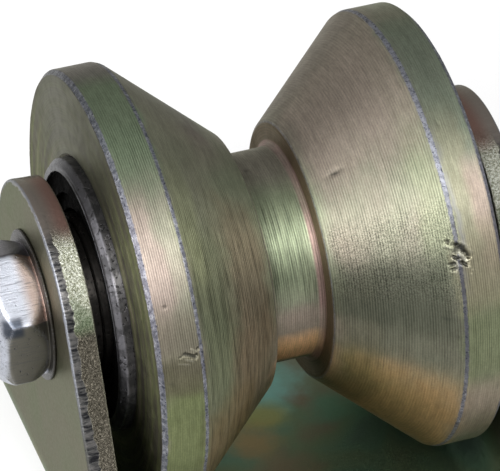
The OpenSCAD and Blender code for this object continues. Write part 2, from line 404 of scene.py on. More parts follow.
# Tints of the passivation on the wheel, and painted light: the dark tints from 150 to
# 186 degrees, below the highlight, are painted shade, and the bright orange ones at
# 206 and 215 degrees, on the underside, are painted reflection. The columns: from and
# to along the axle, angle, spread, colour and share
TINTS_AND_PAINTED_LIGHT = (
    (4.5, 19.2, 76, 42, (0.262, 0.22, 0.185), 0.75),
    (15.5, 19.6, 114, 34, (0.245, 0.265, 0.175), 0.6),
    # Painted reflection on the underside of the right cone
    (5.5, 19.4, 215, 23, (0.5, 0.32, 0.155), 0.9),
    (4.0, 9.5, 200, 34, (0.2, 0.165, 0.085), 0.55),
    (4.0, 19.4, 176, 10, (0.165, 0.16, 0.12), 0.8),
    # Painted shade in the dark band below the highlight
    (4.0, 18.6, 164, 10, (0.098, 0.106, 0.078), 0.8),
    (4.5, 19.4, 95, 21, (0.37, 0.315, 0.262), 0.8),
    (4.5, 19.4, 50, 16, (0.19, 0.165, 0.14), 0.7),
    (-19.3, -8.0, 70, 20, (0.145, 0.128, 0.118), 0.75),
    (-12.5, -4.3, 150, 24, (0.195, 0.155, 0.105), 0.75),
    (-19.3, -12.0, 160, 30, (0.145, 0.16, 0.095), 0.75),
    (-19.3, -15.5, 128, 14, (0.27, 0.285, 0.17), 0.6),
    (-13.0, -4.3, 186, 24, (0.17, 0.13, 0.085), 0.8),
    (-19.5, -9.0, 207, 20, (0.21, 0.155, 0.08), 0.8),
    (-19.3, -11.0, 96, 26, (0.215, 0.225, 0.16), 0.5),
    (-25.6, -22.0, 136, 15, (0.345, 0.28, 0.245), 0.8),
    (-22.2, -19.2, 131, 17, (0.28, 0.265, 0.21), 0.6),
    (-25.6, -19.0, 162, 10, (0.24, 0.215, 0.165), 0.8),
    (-25.6, -19.0, 95, 20, (0.205, 0.27, 0.175), 0.8),
    (-25.6, -19.0, 66, 11, (0.19, 0.165, 0.165), 0.7),
    (-25.6, -19.0, 184, 16, (0.17, 0.198, 0.09), 0.9),
    (-25.6, -19.0, 167, 4, (0.12, 0.105, 0.075), 0.7),
    (19.0, 25.6, 104, 20, (0.215, 0.255, 0.195), 0.75),
    (19.0, 23.6, 131, 14, (0.3, 0.29, 0.205), 0.7),
    (22.6, 25.6, 144, 12, (0.335, 0.265, 0.225), 0.75),
    (19.0, 25.6, 176, 14, (0.165, 0.19, 0.105), 0.8),
    (19.0, 25.6, 202, 11, (0.3, 0.245, 0.19), 0.8),
    (19.0, 25.6, 156, 9, (0.3, 0.27, 0.185), 0.7),
    (-4.2, 4.2, 134, 30, (0.285, 0.332, 0.218), 0.85),
    (-4.2, 4.2, 74, 26, (0.265, 0.245, 0.2), 0.8),
    (-4.2, 4.2, 186, 10, (0.29, 0.235, 0.195), 0.8),
    # Painted reflection on the underside of the groove's floor
    (-4.2, 4.2, 206, 12, (0.8, 0.48, 0.3), 0.95))


def wheel_zinc():
    """Yellow passivated zinc over fine turning marks, worn bright along the edges."""
    f = Finish("wheel_zinc")
    run, feed, hollow, lip = map(f.mark, ("run", "feed", "hollow", "lip"))
    dash = f.drawn(run, 3.4, 0.45, 0.65)
    streak = f.drawn(run, 1.1, 0.06, 0.6)
    drag = f.drawn(run, 2.3, 0.1, 0.7)
    grain = f.noise(f.axle, 3.8, 3.0, 0.6)
    # The turning marks are stronger along some streaks, and are painted strong round
    # the highlight band and faint elsewhere, which is painted light on the marks
    clear = f.most(f.zone(-19, 19, 152, 34), f.zone(-26, -19, 130, 34),
                   f.zone(19, 26, 165, 18))
    groove = f.times(f.math("SINE", f.times(feed, 2 * pi)),
                     f.most(clear, f.band(streak, 0.42, 0.66, 0.22, 0.6)))
    f.colour = f.ramp(
        f.noise(f.axle, 0.06, 2.0, 0.5, 0.5),
        (0.3, (0.225, 0.25, 0.175)), (0.45, (0.245, 0.25, 0.185)),
        (0.58, (0.255, 0.245, 0.19)), (0.72, (0.27, 0.235, 0.19)))
    # Lays the tints, the painted shade and the painted reflection of the table
    for low, high, angle, spread, tint, share in TINTS_AND_PAINTED_LIGHT:
        # Wide tints fade out over a longer way
        blur = 2.2 if high - low > 7 else 0.9
        f.lay(tint, f.zone(low, high, angle, spread, blur), share)
    # Painted shade on the walls of the groove's floor, and a painted pink highlight in
    # its fillets
    f.lay((0.12, 0.085, 0.05), f.band(f.r, FLOOR_R + 0.5, FLOOR_R + 0.9),
          f.band(f.side_x, FLOOR_HALF + 0.2, FLOOR_HALF + 0.05), 0.9)
    f.lay((0.32, 0.2, 0.19),
          f.band(f.corner(FLOOR_HALF - 0.35, FLOOR_R + 0.35), 0.8, 0.35),
          f.band(f.noise(f.axle, 0.1, 2.0), 0.35, 0.55, 0.35, 0.75))
    # The faces round the bearings: turned rings in dark tones, painted shade between
    # the wheel and the cheeks, and darker still over the top, also painted shade
    face = f.band(f.side_x, FACE_X - 0.12, FACE_X - 0.02)
    rings = f.add(f.noise(f.r, 0.35, 3.0, 0.6), f.times(f.drift, 0.5))
    f.lay(f.ramp(rings, (0.32, (0.07, 0.064, 0.052)), (0.47, (0.1, 0.094, 0.066)),
                 (0.58, (0.13, 0.142, 0.068)), (0.7, (0.185, 0.165, 0.115))), face)
    f.lay((0.055, 0.055, 0.042), face, f.zone(-30, 30, 75, 42, ease=0.4), 0.75)
    # Turning marks, streaks, scores, and fine pitting where the highlight ends, whose
    # speckle there is painted glints
    scored = f.most(f.zone(-19.3, -5.0, 172, 40, 1.5), f.zone(-4.2, 4.2, 144, 22))
    pits_and_glints_zone = f.zone(5.0, 19.2, 151, 12)
    pits = f.noise(f.axle, 4.6, 2.0, 0.6)
    shade = f.add(f.band(dash, 0.28, 0.72, 0.88, 1.12),
                  f.times(groove, f.band(streak, 0.35, 0.65, 0.27, 0.14)),
                  f.band(streak, 0.3, 0.7, -0.08, 0.06),
                  f.times(scored, f.band(drag, 0.34, 0.62, -0.34, 0.16)),
                  f.times(pits_and_glints_zone, f.band(pits, 0.38, 0.62, -0.3, 0.32)))
    shade = f.times(shade, f.band(grain, 0.25, 0.8, 0.9, 1.1))
    f.colour = f.mix(1.0, f.colour, shade, "MULTIPLY")
    # Bare zinc along the edges, with chips, paler on the upper right rim
    chips = f.noise(f.axle, 1.9, 4.0, 0.7)
    ragged = f.times(f.minus(chips, 0.5), 0.5)
    pale = f.zone(17, 23, 106, 32, wander=1.5)
    rim = f.band(f.add(f.corner(CONE_END + 0.08, WHEEL_R - 0.1), ragged,
                       f.times(pale, -0.08)), 0.36, 0.2)
    end = f.band(f.add(f.corner(FACE_X - 0.35, WHEEL_R - 0.35), ragged), 0.52, 0.38)
    foot = f.band(f.add(f.corner(FLOOR_HALF + 0.15, FOOT_R), ragged), 0.22, 0.12)
    bare = f.most(rim, end, f.times(foot, 0.45))
    worn = f.noise(f.axle, 1.3, 4.0, 0.75)
    silver = f.ramp(worn, (0.36, (0.085, 0.09, 0.12)), (0.48, (0.165, 0.17, 0.212)),
                    (0.6, (0.28, 0.285, 0.33)), (0.68, (0.45, 0.45, 0.475)))
    silver = f.mix(f.times(pale, f.band(worn, 0.42, 0.55, 0.2, 0.75)), silver,
                   (0.32, 0.33, 0.39))
    silver = f.mix(f.times(f.zone(17, 30, 164, 24, wander=1.5), 0.7), silver,
                   (0.07, 0.07, 0.092))
    # Beside the right rim edge, round the highlight, a pale strip is painted highlight
    f.lay((0.27, 0.275, 0.29), f.zone(19.4, 20.2, 140, 16, 0.5), 0.5)
    f.lay(silver, bare, 0.85)
    f.lay((0.045, 0.047, 0.065), f.band(f.noise(f.axle, 2.7, 3.0, 0.6), 0.57, 0.65),
          bare, 0.85)
    # The knocks: painted highlights on their lips and floors, painted shade on their
    # walls
    flecks = f.noise(f.axle, 3.2, 3.0, 0.7)
    f.lay((0.46, 0.45, 0.37), lip, lip, f.band(flecks, 0.3, 0.46), 0.95)
    f.lay((0.035, 0.036, 0.032), hollow, 0.88)
    height = f.height((groove, 0.0085), (dash, 0.012), (grain, 0.005),
                      (f.times(pits, pits_and_glints_zone), 0.03), (f.times(chips, bare), 0.05),
                      (f.times(flecks, lip), 0.05))
    rough = f.minus(f.band(f.noise(f.axle, 0.5, 4.0), 0.3, 0.75, 0.56, 0.64),
                    f.times(face, 0.15))
    f.finish(rough, height, (0.74, 0.74, 0.68), turned=0.7)


# Clouds on the base of the bracket: middle, reach and colour
CLOUDS = (
    ((3.5, 12.5), 9.0, (0.25, 0.52, 0.45)),
    ((1.5, 5.5), 5.0, (0.33, 0.33, 0.12)),
    ((-1.5, 0.0), 6.0, (0.34, 0.25, 0.12)),
    ((0.0, -9.0), 7.5, (0.26, 0.215, 0.135)),
    ((12.0, 4.0), 6.5, (0.135, 0.28, 0.18)))


def bracket_zinc():
    """The same plating on rolled plate: smooth faces, a sheared edge half torn."""
    f = Finish("bracket_zinc")
    depth, sheared, along = map(f.mark, ("depth", "sheared", "run"))
    grain = f.noise(f.place, 2.4, 4.0, 0.6)
    f.colour = f.ramp(
        f.noise(f.place, 0.05, 3.0, 0.5, 0.5), (0.3, (0.092, 0.112, 0.062)),
        (0.5, (0.108, 0.112, 0.075)), (0.7, (0.12, 0.106, 0.082)))
    f.lay((0.19, 0.18, 0.13), f.band(grain, 0.3, 0.8, 0.0, 0.15))
    # The base keeps more of the blue of the passivation, with green and orange clouds
    elsewhere = f.vector("ADD", f.place, (9.0, 31.0, 3.0))
    base = f.ramp(
        f.noise(elsewhere, 0.075, 2.0, 0.5, 0.4),
        (0.3, (0.13, 0.2, 0.155)), (0.42, (0.15, 0.25, 0.165)),
        (0.54, (0.175, 0.235, 0.14)), (0.66, (0.215, 0.195, 0.13)))
    for at, reach, tint in CLOUDS:
        away = f.add(f.vector("DISTANCE", f.place, (*at, PLATE_T)),
                     f.times(f.drift, reach))
        base = f.mix(f.times(f.band(away, reach, 0.2 * reach), 0.85), base, tint)
    f.lay(base, f.band(f.split(f.place)[2], 12.0, 5.0))
    # The sheared edge: drag marks, then a torn band of fresh metal with a painted
    # highlight in one place
    wander = f.add(f.times(f.minus(f.noise(along, 0.35, 3.0, 0.65), 0.5), 1.3),
                   f.times(f.minus(grain, 0.5), 0.5))
    border = f.band(f.z, 6.0, -24.0, 1.35, 2.05)
    torn = f.times(f.band(f.minus(f.add(depth, wander), border), -0.12, 0.12), sheared)
    drag = f.times(sheared, f.minus(1.0, torn))
    marks = f.noise(f.joined(f.times(along, 2.1), f.times(depth, 0.45), 0.0),
                    1.0, 3.0, 0.6)
    f.lay(f.ramp(marks, (0.38, (0.022, 0.022, 0.025)), (0.47, grey(0.07)),
                 (0.6, (0.15, 0.144, 0.14))), drag)
    crumbs = f.noise(f.place, 3.4, 4.0, 0.8)
    rest = f.ramp(crumbs, (0.36, (0.04, 0.036, 0.028)), (0.5, (0.095, 0.086, 0.068)),
                  (0.66, (0.26, 0.235, 0.19)))
    fresh_and_highlit = f.ramp(crumbs, (0.35, (0.15, 0.155, 0.095)), (0.48, (0.4, 0.41, 0.32)),
                   (0.6, (0.78, 0.79, 0.72)))
    mossy = f.ramp(crumbs, (0.34, (0.05, 0.075, 0.045)), (0.5, (0.12, 0.155, 0.09)),
                   (0.68, (0.28, 0.32, 0.22)))
    rest = f.mix(f.zone(-60, 60, 148, 8, ease=0.6, wander=3.0), rest, mossy)
    patchy = f.band(f.noise(f.place, 0.45, 3.0), 0.44, 0.58)
    fresh_and_highlit = f.mix(f.times(patchy, f.band(f.z, 14.0, 8.0), 0.7), fresh_and_highlit, mossy)
    # Painted highlight where the torn band faces the light, round 132 degrees
    highlight_zone = f.zone(-60, 60, 132, 16, ease=0.6, wander=3.0)
    f.lay(f.mix(highlight_zone, rest, fresh_and_highlit), torn)
    # It is smooth over the top of the cheek
    crown = f.times(sheared, f.zone(-60, 60, 88, 24, ease=0.35, wander=3.0))
    rosy = f.mix(f.band(depth, 1.0, 3.4), (0.27, 0.235, 0.205), (0.25, 0.15, 0.125))
    f.lay(rosy, crown, 0.92)
    # A line rubbed bare along the outer corner, with a painted highlight that is
    # brighter above, and a duller line at the inner corner
    f.lay(f.mix(f.band(f.z, -10.0, 4.0), (0.105, 0.105, 0.095), (0.27, 0.28, 0.315)),
          sheared, f.band(f.add(depth, f.times(wander, 0.12)), 0.34, 0.18),
          f.band(grain, 0.36, 0.52, 0.5, 0.9))
    f.lay((0.33, 0.32, 0.25), sheared,
          f.band(depth, PLATE_T - 0.3, PLATE_T - 0.12), 0.5)
    rugged = f.minus(1.0, crown)
    height = f.height(
        (grain, 0.007), (f.noise(f.place, 0.6, 3.0), 0.03),
        (f.noise(f.place, 5.5, 3.0, 0.7), 0.004),
        (f.times(marks, drag, rugged), 0.1), (f.times(crumbs, torn, rugged), 0.2))
    rough = f.add(f.band(grain, 0.3, 0.75, 0.4, 0.5), f.times(torn, 0.04))
    f.finish(rough, height, (0.78, 0.78, 0.7))


# Tints of the bolt head, with painted shade: the facets round 66 and 186 degrees are
# painted dark. The columns: from and to along the axle, angle, spread, blur, ease,
# colour and share
HEAD_TINTS_AND_PAINTED_SHADE = (
    (-41.6, -33.0, 66, 30, 0.4, 0.03, (0.105, 0.095, 0.1), 0.95),
    (-41.0, -33.0, 186, 30, 0.4, 0.03, (0.14, 0.132, 0.105), 0.95),
    (-37.2, -33.0, 126, 30, 1.0, 0.03, (0.36, 0.255, 0.195), 0.8),
    (-41.4, -38.6, 156, 7, 0.4, 0.5, (0.035, 0.045, 0.065), 0.9))


def bolt_zinc(name, silver, tint, head=False):
    """Bright zinc with the wrench and handling scratches of a hex bolt."""
    f = Finish(name)
    edge = f.mark("edge")
    brushed = f.noise(f.joined(f.times(f.x, 0.35), f.times(f.y, 4.2),
                               f.times(f.z, 4.2)), 1.0, 3.0, 0.65, 0.4)
    grain = f.noise(f.axle, 3.0, 4.0, 0.7)
    f.colour = f.mix(f.band(f.noise(f.axle, 0.22, 3.0), 0.35, 0.65), silver, tint)
    if head:
        for *where, shade, share in HEAD_TINTS_AND_PAINTED_SHADE:
            f.lay(shade, f.zone(*where, wander=0.9), share)
        # Painted contact shadow where the head sits on the cheek, and on the brim of
        # its foot
        seat = -OUTER_HALF
        f.lay((0.04, 0.036, 0.03), f.band(f.x, seat - 0.44, seat - 0.34))
        f.lay((0.036, 0.033, 0.027), f.band(f.x, seat - 0.58, seat - 0.52),
              f.band(f.r, 9.6, 9.9), 0.95)
        edge = f.times(edge, f.band(f.x, seat - 0.6, seat - 0.7))
    pits = f.band(f.noise(f.axle, 1.5, 2.0), 0.66, 0.74)
    f.lay((0.04, 0.04, 0.05), pits, 0.75)
    f.lay((0.1, 0.1, 0.11), f.band(brushed, 0.34, 0.5, 0.5, 0.0))
    f.lay((0.42, 0.43, 0.48), edge, f.band(grain, 0.35, 0.55), 0.35)
    height = f.height((brushed, 0.03), (grain, 0.01), (pits, -0.05))
    f.finish(f.band(grain, 0.3, 0.7, 0.36, 0.46), height)


def steel(name, tone, dark, rough, turned, stain, line=(0.55, 0.55, 0.6),
          glance=grey(1.0), ring=False):
    """Bare steel, ground or turned, oiled, with dark stains and pits."""
    f = Finish(name)
    lines = f.noise(f.joined(f.times(f.x, 5.0), f.times(f.r, 5.0), f.times(f.z, 0.1)),
                    1.0, 3.0, 0.6)
    stains = f.noise(f.axle, 0.5, 4.0, 0.65, 0.5)
    pits = f.band(f.noise(f.axle, 1.7, 3.0, 0.6), 0.57, 0.66)
    f.colour = f.mix(f.band(stains, 0.38, 0.62, 0.0, stain), tone, dark)
    f.lay(dark, f.band(lines, 0.3, 0.7, 0.25, 0.0))
    f.lay(line, f.mark("edge"), f.band(stains, 0.62, 0.45, 0.35, 0.9))
    if ring:
        # The ground end of an outer ring, with painted shade over its top and a painted
        # highlight on its inner corner
        end = f.times(f.band(f.side_x, BEARING_END - 0.95, BEARING_END - 0.75),
                      f.band(f.r, RECESS_R - 0.1, RECESS_R + 0.1))
        f.lay((0.145, 0.142, 0.155), end, f.band(stains, 0.62, 0.42, 0.2, 0.8))
        top = f.zone(-60, 60, 66, 36, wander=2.0)
        f.lay((0.045, 0.044, 0.046), end, f.times(top, 0.9))
        shine = f.times(f.band(f.corner(BEARING_END - 0.08, 18.25), 0.46, 0.24),
                        f.zone(-60, 60, 128, 34, wander=2.0))
        f.lay((0.92, 0.92, 0.98), shine, f.band(stains, 0.62, 0.44, 0.45, 1.0))
    f.lay(grey(0.012), pits, stain)
    height = f.height((lines, 0.008), (stains, 0.02), (pits, -0.04))
    rough = f.band(stains, 0.3, 0.7, rough - 0.05, rough + 0.08)
    f.finish(rough, height, glance, turned)


wheel_zinc()
bracket_zinc()
bolt_zinc("bolt_zinc", (0.52, 0.54, 0.6), (0.44, 0.46, 0.51), head=True)
bolt_zinc("nut_zinc", (0.3, 0.3, 0.22), (0.27, 0.31, 0.22))
steel("bearing_steel", (0.135, 0.13, 0.135), grey(0.03), 0.4, 0.4, 0.8, ring=True)
steel("ball_steel", (0.6, 0.61, 0.63), (0.45, 0.46, 0.48), 0.14, 0.0, 0.15)
steel("sheet_steel", (0.035, 0.033, 0.032), grey(0.012), 0.46, 0.3, 0.6,
      grey(0.09), grey(0.25))
steel("oiled_steel", (0.06, 0.055, 0.05), (0.015, 0.014, 0.013), 0.44, 0.4, 0.6,
      grey(0.12), grey(0.25))
steel("turned_steel", (0.42, 0.43, 0.45), (0.2, 0.2, 0.21), 0.33, 0.5, 0.4)


# ---- Wheel ----

# Knocks: half width, depth, and a path of (distance along the axle, angle) points.
# A negative depth raises a lip.
KNOCKS = (
    # The deep ding in the right rim edge: a torn pocket, a cut below it and their lips
    (0.36, 0.5, (18.95, 149.0), (20.0, 150.3), (20.55, 152.3)),
    (0.55, 0.3, (19.2, 150.6), (19.9, 151.9), (19.95, 153.0)),
    (0.22, 0.42, (18.5, 151.9), (19.3, 153.3), (20.05, 154.6)),
    (0.22, -0.08, (18.7, 153.7), (19.6, 154.7), (20.45, 155.3)),
    (0.3, -0.03, (19.1, 148.0), (20.3, 149.4), (21.0, 151.6)),
    (0.22, 0.24, (18.1, 148.0), (18.12, 148.3)),
    (0.26, -0.06, (17.85, 149.2), (18.3, 149.8)),
    (0.3, -0.03, (18.7, 150.2), (18.35, 151.4)),
    (0.24, 0.28, (18.1, 154.0), (18.45, 153.7)),
    (0.18, 0.2, (18.2, 155.3), (18.5, 155.0)),
    (0.2, -0.03, (18.1, 155.9), (18.6, 156.2)),
    (0.12, -0.06, (20.85, 156.1), (20.9, 156.3)),
    (0.12, -0.06, (20.65, 157.0), (20.7, 157.2)),
    (0.14, 0.1, (16.4, 168.8), (18.1, 169.4)),
    (0.16, 0.1, (17.6, 173.4), (18.5, 174.3)),
    # The scrape on the left rim band
    (0.3, 0.24, (-21.6, 161.0), (-20.9, 161.6), (-20.1, 162.4)),
    (0.2, -0.08, (-21.45, 162.6), (-20.55, 163.2)),
    (0.16, -0.06, (-22.6, 163.2), (-21.1, 163.9)),
    (0.24, 0.22, (-19.64, 160.1), (-19.7, 160.4)),
    (0.18, 0.18, (-19.9, 161.6), (-19.95, 161.8)),
    (0.18, 0.14, (-22.2, 161.7), (-22.4, 161.6)),
    (0.16, -0.06, (-20.6, 160.2), (-19.95, 160.9)),
    (0.18, 0.12, (-23.3, 148.6), (-23.32, 148.8)),
    (0.45, 0.28, (7.75, 116.9), (7.8, 117.1)),
    (0.32, 0.14, (-1.9, 88.0), (-1.9, 89.0)),
    (0.18, 0.09, (16.9, 121.3), (17.2, 121.8)),
    (0.18, 0.1, (20.8, 118.3), (21.0, 118.8)),
    (0.16, 0.08, (-23.6, 167.8), (-24.1, 168.2)))
# The torn metal on the floor of the ding's pocket, which carries a painted highlight
TORN = ((19.25, 150.9), (19.8, 151.9), (20.15, 153.1))

# Where the grids are fine enough for the ding and the scrape
FINE_X, FINE_BAND = 16.8, (21.3, 24.2)
FINE_ANGLES = (147, 165)


def from_path(path, x, angle, r):
    """The distance in mm from every grid point to a path over the surface."""
    away = np.full(x.shape, 1e3)
    middle = path[len(path) // 2][1]
    v = np.radians((angle - middle + 180) % 360 - 180) * r
    for (x0, a0), (x1, a1) in zip(path, path[1:]):
        v0, v1 = np.radians(a0 - middle) * r, np.radians(a1 - middle) * r
        dx, dv = x1 - x0, v1 - v0
        t = np.clip(((x - x0) * dx + (v - v0) * dv) / (dx * dx + dv * dv), 0, 1)
        away = np.minimum(away, np.hypot(x - x0 - t * dx, v - v0 - t * dv))
    return away


def wheel_profile():
    """The wheel's closed profile: its points, edge marks and distance run."""
    slope = radians(CONE_ANGLE)
    along, up = EDGE_BREAK * sin(slope), EDGE_BREAK * cos(slope)
    half = [
        (0.0, FLOOR_R, 0, 0, 0.9),
        (FLOOR_HALF, FLOOR_R, ROOT_FILLET, 0, 0.7),
        (FLOOR_HALF, FOOT_R - EDGE_BREAK, 0.12, 1, 1.0),
        (FLOOR_HALF + along, FOOT_R + up, 0.15, 1, 1.1),
        (FINE_X, FOOT_R + (FINE_X - FLOOR_HALF) / tan(slope), 0, 0, 0.13),
        (CONE_END - along, WHEEL_R - up, 0.22, 1, 1.0),
        (CONE_END + EDGE_BREAK, WHEEL_R, 0.22, 1, 0.12),
        (FINE_BAND[0], WHEEL_R, 0, 0, 0.24),
        (FINE_BAND[1], WHEEL_R, 0, 0, 0.5),
        (FACE_X - RIM_CHAMFER, WHEEL_R, 0.25, 0.8, 1.0),
        (FACE_X, WHEEL_R - RIM_CHAMFER, 0.28, 0.8, 1.6),
        (FACE_X, RING_R + SEAT_CHAMFER, 0.1, 0.5, 1.0),
        (FACE_X - SEAT_CHAMFER, RING_R, 0.1, 0.5, 5.0),
        (SEAT_X, RING_R, 0, 0, 5.0),
        (SEAT_X, RELIEF_R, 0, 0, 5.0),
        (SEAT_X - RELIEF, RELIEF_R, 0, 0, 5.0),
        (SEAT_X - RELIEF, BORE_R, 0, 0, 8.0)]
    left = [(-x, r, radius, mark, half[i - 1][4])
            for i, (x, r, radius, mark, _) in enumerate(half)][:0:-1]
    # The profile's seam is hidden in the bore
    return rounded([(0.0, BORE_R, 0, 0, 8.0)] + left + half)


def wheel():
    points, marks, run = wheel_profile()
    x, r = points[:, :1], points[:, 1:]

    # The turning marks are finer on the rim bands and the floor than on the cones
    on_band = (r > WHEEL_R - 0.01) | (r < FLOOR_R + 0.01)
    pitch = np.where(on_band, 0.33, 0.41)[:, 0]
    turns = np.diff(run) / (pitch[1:] + pitch[:-1]) * 2
    feed = np.concatenate([[0], np.cumsum(turns)])

    # Outward directions of the profile
    ahead = np.roll(points, -1, 0) - np.roll(points, 1, 0)
    out = unit_rows(np.stack([ahead[:, 1], -ahead[:, 0]], 1))
    out *= np.where(out[:, 1:] * np.where(r > 14, 1, -1) < -0.5, -1, 1)

    low, high = FINE_ANGLES
    angle = np.concatenate([np.arange(low, high, 0.2), np.arange(high, low + 360, 1.0)])
    x, r, angle = np.broadcast_arrays(x, r, angle[None])
    move, hollow, lip = np.zeros(x.shape), np.zeros(x.shape), np.zeros(x.shape)
    seen = points[:, 1:] > FLOOR_R - 0.1
    for width, depth, *path in KNOCKS:
        ragged = 1 + 0.3 * wave(x * 2.4, angle * 1.4, path[0][0]) \
            + 0.2 * wave(x * 6, angle * 3.4, 7.0)
        away = np.clip(from_path(path, x, angle, r) / width * ragged, 0, 4)
        shape = np.where(seen, np.exp(-away ** (4 if depth > 0 else 2)), 0)
        move -= depth * shape
        if depth > 0:
            hollow = np.maximum(hollow, shape * min(1, depth / 0.3))
        else:
            lip = np.maximum(lip, 0.5 * shape)
    shine = np.where(seen, np.exp(-(from_path(TORN, x, angle, r) / 0.4) ** 4), 0)
    hollow = np.clip(hollow - 0.9 * shine, 0, 1)
    lip = np.maximum(lip, shine)
    # The edges of the rims are worn unevenly
    ripple = wave(angle * 0.9, x, 3.0) + 0.5 * wave(angle * 2.3, x * 2, 5.0)
    at_rim = (marks[:, None] > 0.7) & (points[:, 1:] > WHEEL_R - 1.2)
    move -= at_rim * seen * 0.03 * np.clip(ripple, 0, 1.5)
    shape = Shape()
    shape.sheet(round_axle(x + out[:, :1] * move, r + out[:, 1:] * move, angle),
                along=True, run=run[:, None], feed=feed[:, None], hollow=hollow,
                lip=lip)
    shape.build("wheel", "wheel", "wheel_zinc", "wheel_body")


# ---- Bracket ----


def quarter_round(radius, steps):
    """(depth, inset) over a rounded corner, from a face to the wall beside it."""
    return [(radius * (1 - cos(b)), radius * (1 - sin(b)))
            for b in np.radians(np.linspace(0, 90, steps))]


# Across the sheared edge: (depth from the outer face, inset)
EDGE_ROWS = quarter_round(SHEAR_R, 7) + [
    (0.6, 0.0), (0.9, 0.0), (1.2, 0.02), (1.6, 0.06), (2.2, 0.09), (2.8, 0.11),
    (3.4, 0.12), (3.8, 0.13)] + [
    (PLATE_T - inset, 0.14 + depth) for depth, inset in quarter_round(BURR_R, 4)]
OUTER_INSET, INNER_INSET = EDGE_ROWS[0][1], EDGE_ROWS[-1][1]


def half_width(z, inset):
    """Half of the plate's width at height z."""
    lean = (CHEEK_R + (AXLE_Z - z) * sin(LEAN)) / cos(LEAN)
    blend = np.clip((z - PLATE_T) / (BEND_OUT - PLATE_T), 0, 1)
    grow = 1 + blend * (1 / cos(LEAN) - 1)
    return np.minimum(BASE_HALF, lean) - inset * grow


def base_loop(inset):
    """The borders of a quarter of the base, seen from its fixing hole."""
    corners = np.array([[BEND_CENTRE, BASE_HALF - inset], [0.0, BASE_HALF - inset],
                        [0.0, 0.0], [BEND_CENTRE, 0.0]])
    t = np.linspace(0, 1, 24, endpoint=False)[:, None]
    sides = [a + (b - a) * t for a, b in zip(corners, np.roll(corners, -1, 0))]
    return np.concatenate(sides) - FIXING


def cheek_loop(inset):
    """The cheek's outline round the axle, from its foot line up and over."""
    foot = BEND_OUT - AXLE_Z
    wide = half_width(np.array(BEND_OUT), inset)
    r = CHEEK_R - inset
    touch = r * np.array([cos(LEAN), sin(LEAN)])
    side = np.linspace(0, 1, 40)[:-1, None]
    side = np.array([wide, foot]) + (touch - [wide, foot]) * side
    a = np.radians(np.linspace(FLARE, 180 - FLARE, 68))
    top = r * np.stack([np.cos(a), np.sin(a)], 1)
    bottom = np.stack([ACROSS[1:-1] * wide, np.full(FOOT_COUNT, foot)], 1)
    return np.concatenate([bottom, side, top, (side * [-1, 1])[::-1]])


def annulus(loop, hole_r, steps):
    """Rings of points between a round hole and a loop that goes round it."""
    rim = unit_rows(loop) * hole_r
    t = np.linspace(0, 1, steps)
    t = (0.12 * t + 0.88 * t * t * (3 - 2 * t))[:, None, None]
    return rim + (loop - rim) * t


def hole_rings(outer, inner, hole_r):
    """Depths and rings of points down a punched hole with both mouths rounded.

    The points lie below those of the outer face's loop, and turn to the inner one's.
    """
    mouth = quarter_round(HOLE_ROUND, 5)
    wall = [(depth, hole_r + inset) for depth, inset in mouth]
    wall += [(PLATE_T * k, hole_r) for k in (0.3, 0.5, 0.7)]
    wall += [(PLATE_T - depth, hole_r + inset) for depth, inset in mouth[::-1]]
    outer, inner = unit_rows(outer), unit_rows(inner)
    return [(t, unit_rows(outer + (inner - outer) * t / PLATE_T) * r) for t, r in wall]


# Steps across the plate's width, and round a bend
ACROSS = np.linspace(0, 1, 25)
ACROSS = np.concatenate([-ACROSS[:0:-1], ACROSS])
FOOT_COUNT = len(ACROSS) - 2
BEND = np.radians(np.linspace(0, 90, 15))


def on_base(side, end, points, t):
    """Points given from the fixing hole of a quarter of the base, at depth t."""
    x, y = np.moveaxis(points + FIXING, -1, 0)
    return np.stack([side * x, end * y, np.full(x.shape, t)], -1)


def on_cheek(side, points, t):
    """Points given as (y, z from the axle), at depth t from a cheek's outer face."""
    x = np.full(points.shape[:-1], side * (OUTER_HALF - t))
    return np.stack([x, points[..., 0], points[..., 1] + AXLE_Z], -1)


def on_bend(side, angle, t, across, inset):
    r = BEND_OUT - t
    z = BEND_OUT - r * np.cos(angle)
    x = side * (BEND_CENTRE + r * np.sin(angle))
    return np.stack(np.broadcast_arrays(x, across * half_width(z, inset), z), -1)


